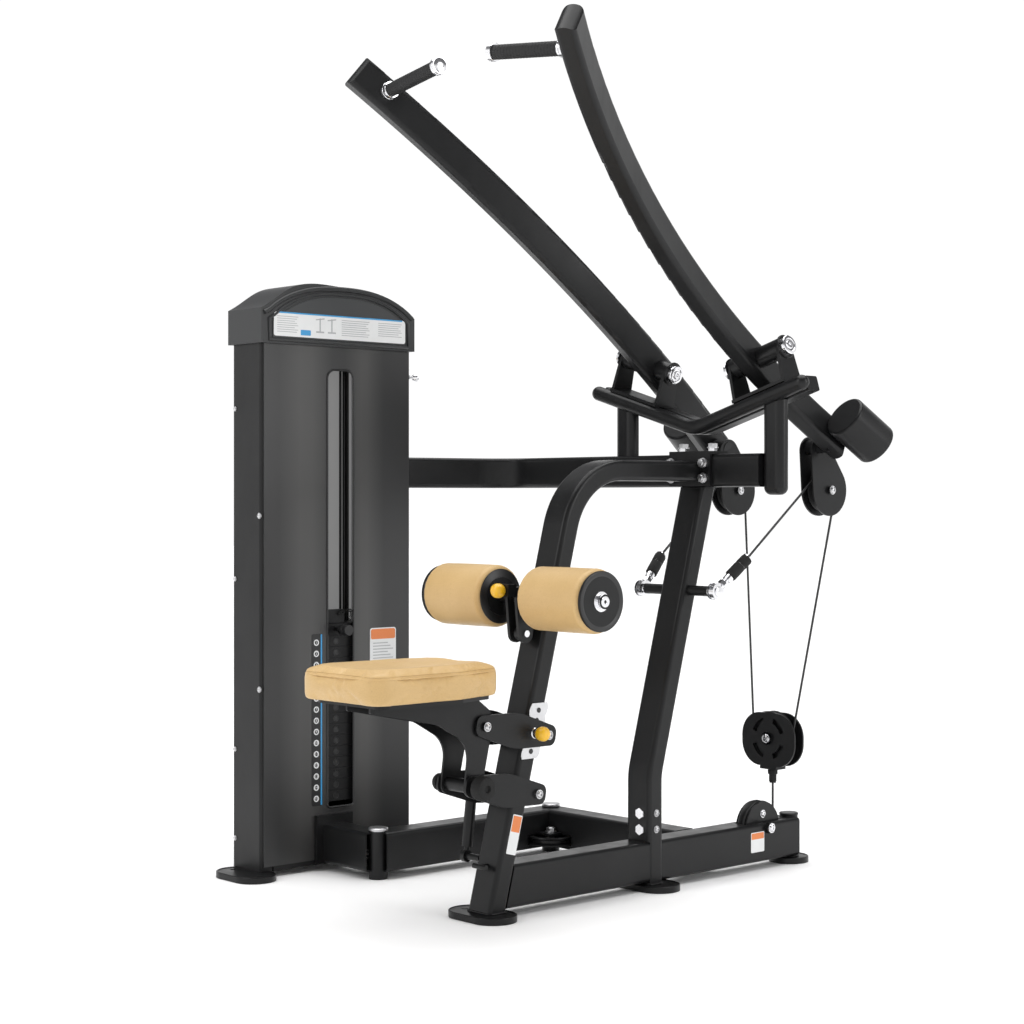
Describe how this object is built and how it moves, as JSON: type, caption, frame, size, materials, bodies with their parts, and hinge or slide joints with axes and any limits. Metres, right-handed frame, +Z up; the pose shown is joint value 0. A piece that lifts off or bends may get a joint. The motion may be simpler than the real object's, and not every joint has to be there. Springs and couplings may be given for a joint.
{
  "type": "lat pulldown machine",
  "caption": "Lat pulldown machine: padded seat and thigh rollers on a leaning post, two overhead swing arms with handles, cable pulleys and a shrouded weight tower.",
  "frame": {"origin": "floor level, under the centre of the whole machine's bounding box", "axes": "+X is the way the user faces and the centre beam runs, +Y is the user's left towards the weight tower, +Z up"},
  "size_m": [1.5735, 1.267, 2.0327],
  "materials": {
    "black_powder_coat": "satin",
    "tower_coat": "satin",
    "cap_plastic": "satin",
    "steel_rod": "polished",
    "stack_iron": "matte",
    "bolt_chrome": "polished",
    "grip_rubber": "matte",
    "tan_vinyl": "satin",
    "yellow_plastic": "glossy",
    "pin_black": "glossy",
    "pulley_nylon": "matte",
    "cable_sheath": "satin"
  },
  "bodies": {
    "frame": {"main_beam": "black_powder_coat", "foot_plates": "black_powder_coat", "seat_post": "black_powder_coat", "middle_upright": "black_powder_coat", "saddle_bracket": "black_powder_coat", "lateral_beam": "black_powder_coat", "arm_posts": "black_powder_coat", "pivot_beam": "black_powder_coat", "grab_rail": "black_powder_coat", "pivot_brackets": "black_powder_coat", "cable_crossbar": "black_powder_coat", "side_base_frame": "black_powder_coat", "base_pulley_cheeks": "black_powder_coat", "tower_frame": "tower_coat", "front_shroud": "tower_coat", "rear_shroud": "tower_coat", "tower_cap": "cap_plastic", "guide_rods": "steel_rod", "weight_plates": "stack_iron", "frame_bolts": "bolt_chrome", "stack_cable": "cable_sheath"},
    "left_arm_body": {"left_arm": "black_powder_coat", "left_handle": "bolt_chrome", "left_grip": "grip_rubber", "left_counterweight": "black_powder_coat"},
    "right_arm_body": {"right_arm": "black_powder_coat", "right_handle": "bolt_chrome", "right_grip": "grip_rubber", "right_counterweight": "black_powder_coat"},
    "left_rod_body": {"left_rod_end": "bolt_chrome"},
    "right_rod_body": {"right_rod_end": "bolt_chrome"},
    "left_cable_body": {"left_cable_front": "cable_sheath"},
    "right_cable_body": {"right_cable_front": "cable_sheath"},
    "left_drop_body": {"left_cable_drop": "cable_sheath"},
    "right_drop_body": {"right_cable_drop": "cable_sheath"},
    "floating_body": {"floating_carriage": "black_powder_coat", "float_cable_loop": "cable_sheath"},
    "top_plate_body": {"top_plate": "stack_iron"},
    "selector_pin_body": {"selector_pin": "pin_black"},
    "upper_link_body": {"upper_link": "black_powder_coat"},
    "lower_link_body": {"lower_link": "black_powder_coat"},
    "seat_body": {"seat_carrier": "black_powder_coat", "seat_cushion": "tan_vinyl"},
    "seat_pull_pin_body": {"seat_pull_pin": "yellow_plastic"},
    "gas_cylinder_body": {"gas_cylinder": "black_powder_coat"},
    "gas_rod_body": {"gas_rod": "bolt_chrome"},
    "roller_bracket_body": {"roller_bracket": "black_powder_coat"},
    "left_roller_body": {"left_roller": "tan_vinyl"},
    "right_roller_body": {"right_roller": "tan_vinyl"},
    "roller_pull_pin_body": {"roller_pull_pin": "yellow_plastic"},
    "left_arm_pulley_body": {"left_arm_pulley": "pulley_nylon"},
    "right_arm_pulley_body": {"right_arm_pulley": "pulley_nylon"},
    "floating_pulley_body": {"floating_pulley": "pulley_nylon"},
    "base_pulley_body": {"base_pulley": "pulley_nylon"},
    "junction_pulley_body": {"junction_pulley": "pulley_nylon"},
    "corner_pulley_rear_body": {"corner_pulley_rear": "pulley_nylon"},
    "corner_pulley_front_body": {"corner_pulley_front": "pulley_nylon"},
    "tower_base_pulley_body": {"tower_base_pulley": "pulley_nylon"},
    "tower_top_pulley_body": {"tower_top_pulley": "pulley_nylon"}
  },
  "joints": [
    {"name": "left_arm_swing", "type": "hinge", "parent": "frame", "child": "left_arm_body", "pos_m": [0.39731, -0.06104, 1.31255], "axis": [0, -0.9588, -0.284], "range_deg": [0, 45]},
    {"name": "right_arm_swing", "type": "hinge", "parent": "frame", "child": "right_arm_body", "pos_m": [0.39731, -0.41095, 1.31255], "axis": [0, -0.9588, 0.284], "range_deg": [0, 45]},
    {"name": "floating_lift", "type": "slide", "parent": "frame", "child": "floating_body", "axis": [0, 0, 1], "range_m": [0, 0.62679]},
    {"name": "stack_lift", "type": "slide", "parent": "frame", "child": "top_plate_body", "axis": [0, 0, 1], "range_m": [0, 0.62679], "deforming": ["stack_cable"]},
    {"name": "selector_pin_slide", "type": "slide", "parent": "top_plate_body", "child": "selector_pin_body", "axis": [0, -1, 0], "range_m": [0, 0.06]},
    {"name": "left_rod_end_tilt", "type": "hinge", "parent": "frame", "child": "left_rod_body", "pos_m": [0.30731, -0.11099, 0.737], "axis": [0.4252, -0.7966, -0.4296], "range_deg": [0, 13.32]},
    {"name": "left_cable_pay_out", "type": "slide", "parent": "left_rod_body", "child": "left_cable_body", "axis": [0.7819, 0.0207, 0.623], "range_m": [0, 0.28267], "deforming": ["left_cable_front"]},
    {"name": "left_drop_tilt", "type": "hinge", "parent": "left_arm_body", "child": "left_drop_body", "pos_m": [0.69037, -0.0791, 0.98974], "axis": [0.0089, 0.9959, 0.0901], "range_deg": [0, 71.06], "deforming": ["left_cable_drop"]},
    {"name": "left_arm_pulley_spin", "type": "hinge", "parent": "left_arm_body", "child": "left_arm_pulley_body", "pos_m": [0.69037, -0.0791, 0.98974], "axis": [0, 1, 0], "continuous": true},
    {"name": "right_rod_end_tilt", "type": "hinge", "parent": "frame", "child": "right_rod_body", "pos_m": [0.30731, -0.361, 0.737], "axis": [-0.4252, -0.7966, 0.4296], "range_deg": [0, 13.32]},
    {"name": "right_cable_pay_out", "type": "slide", "parent": "right_rod_body", "child": "right_cable_body", "axis": [0.7819, -0.0207, 0.623], "range_m": [0, 0.28267], "deforming": ["right_cable_front"]},
    {"name": "right_drop_tilt", "type": "hinge", "parent": "right_arm_body", "child": "right_drop_body", "pos_m": [0.69037, -0.39289, 0.98974], "axis": [-0.0089, 0.9959, -0.0901], "range_deg": [0, 71.06], "deforming": ["right_cable_drop"]},
    {"name": "right_arm_pulley_spin", "type": "hinge", "parent": "right_arm_body", "child": "right_arm_pulley_body", "pos_m": [0.69037, -0.39289, 0.98974], "axis": [0, 1, 0], "continuous": true},
    {"name": "base_pulley_spin", "type": "hinge", "parent": "frame", "child": "base_pulley_body", "pos_m": [0.60981, -0.236, 0.107], "axis": [0, 1, 0], "continuous": true},
    {"name": "junction_pulley_spin", "type": "hinge", "parent": "frame", "child": "junction_pulley_body", "pos_m": [0.42231, -0.18099, 0.0455], "axis": [0, 0, 1], "continuous": true},
    {"name": "corner_pulley_rear_spin", "type": "hinge", "parent": "frame", "child": "corner_pulley_rear_body", "pos_m": [0.31231, 0.241, 0.0455], "axis": [0, 0, 1], "continuous": true},
    {"name": "corner_pulley_front_spin", "type": "hinge", "parent": "frame", "child": "corner_pulley_front_body", "pos_m": [-0.15669, 0.35101, 0.0455], "axis": [0, 0, 1], "continuous": true},
    {"name": "tower_base_pulley_spin", "type": "hinge", "parent": "frame", "child": "tower_base_pulley_body", "pos_m": [-0.21169, 0.559, 0.1005], "axis": [1, 0, 0], "continuous": true},
    {"name": "tower_top_pulley_spin", "type": "hinge", "parent": "frame", "child": "tower_top_pulley_body", "pos_m": [-0.21169, 0.584, 1.44], "axis": [1, 0, 0], "continuous": true},
    {"name": "floating_pulley_spin", "type": "hinge", "parent": "floating_body", "child": "floating_pulley_body", "pos_m": [0.67131, -0.236, 0.334], "axis": [1, 0, 0], "continuous": true},
    {"name": "seat_height", "type": "hinge", "parent": "frame", "child": "upper_link_body", "pos_m": [-0.19569, -0.236, 0.415], "axis": [0, 1, 0], "range_deg": [-14, 16]},
    {"name": "lower_link_turn", "type": "hinge", "parent": "frame", "child": "lower_link_body", "pos_m": [-0.22769, -0.236, 0.28], "axis": [0, 1, 0], "range_deg": [-14, 16]},
    {"name": "seat_level", "type": "hinge", "parent": "upper_link_body", "child": "seat_body", "pos_m": [-0.38869, -0.236, 0.449], "axis": [0, 1, 0], "range_deg": [-16, 14]},
    {"name": "gas_cylinder_tilt", "type": "hinge", "parent": "frame", "child": "gas_cylinder_body", "pos_m": [-0.32869, -0.14999, 0.13], "axis": [0, 1, 0], "range_deg": [-0.097, 0.11]},
    {"name": "gas_rod_tilt", "type": "hinge", "parent": "upper_link_body", "child": "gas_rod_body", "pos_m": [-0.29269, -0.14999, 0.428], "axis": [0, 1, 0], "range_deg": [-15.91, 13.92]},
    {"name": "seat_pin_pull", "type": "slide", "parent": "upper_link_body", "child": "seat_pull_pin_body", "axis": [0, -1, 0], "range_m": [0, 0.012], "stiffness_N_per_m": 400},
    {"name": "roller_swing", "type": "hinge", "parent": "frame", "child": "roller_bracket_body", "pos_m": [-0.23469, -0.236, 0.652], "axis": [0, -1, 0], "range_deg": [0, 30]},
    {"name": "left_roller_spin", "type": "hinge", "parent": "roller_bracket_body", "child": "left_roller_body", "pos_m": [-0.23869, -0.236, 0.737], "axis": [0, 1, 0], "continuous": true},
    {"name": "right_roller_spin", "type": "hinge", "parent": "roller_bracket_body", "child": "right_roller_body", "pos_m": [-0.23869, -0.236, 0.737], "axis": [0, 1, 0], "continuous": true},
    {"name": "roller_pin_pull", "type": "slide", "parent": "roller_bracket_body", "child": "roller_pull_pin_body", "axis": [-1, 0, 0], "range_m": [0, 0.012], "stiffness_N_per_m": 400}
  ],
  "couplings": [
    {"joint": "right_arm_swing", "follows": "left_arm_swing", "ratio": 1},
    {"joint": "floating_lift", "follows": "left_arm_swing", "m_per_rad": 0.79805},
    {"joint": "stack_lift", "follows": "left_arm_swing", "m_per_rad": 0.79805},
    {"joint": "left_rod_end_tilt", "follows": "left_arm_swing", "ratio": 0.29583},
    {"joint": "left_cable_pay_out", "follows": "left_arm_swing", "m_per_rad": 0.35991},
    {"joint": "left_drop_tilt", "follows": "left_arm_swing", "ratio": 1.5788},
    {"joint": "right_rod_end_tilt", "follows": "left_arm_swing", "ratio": 0.29583},
    {"joint": "right_cable_pay_out", "follows": "left_arm_swing", "m_per_rad": 0.35991},
    {"joint": "right_drop_tilt", "follows": "left_arm_swing", "ratio": 1.5788},
    {"joint": "lower_link_turn", "follows": "seat_height", "ratio": 1},
    {"joint": "seat_level", "follows": "seat_height", "ratio": -1},
    {"joint": "gas_cylinder_tilt", "follows": "seat_height", "ratio": 0.006228},
    {"joint": "gas_rod_tilt", "follows": "seat_height", "ratio": -0.99377}
  ]
}
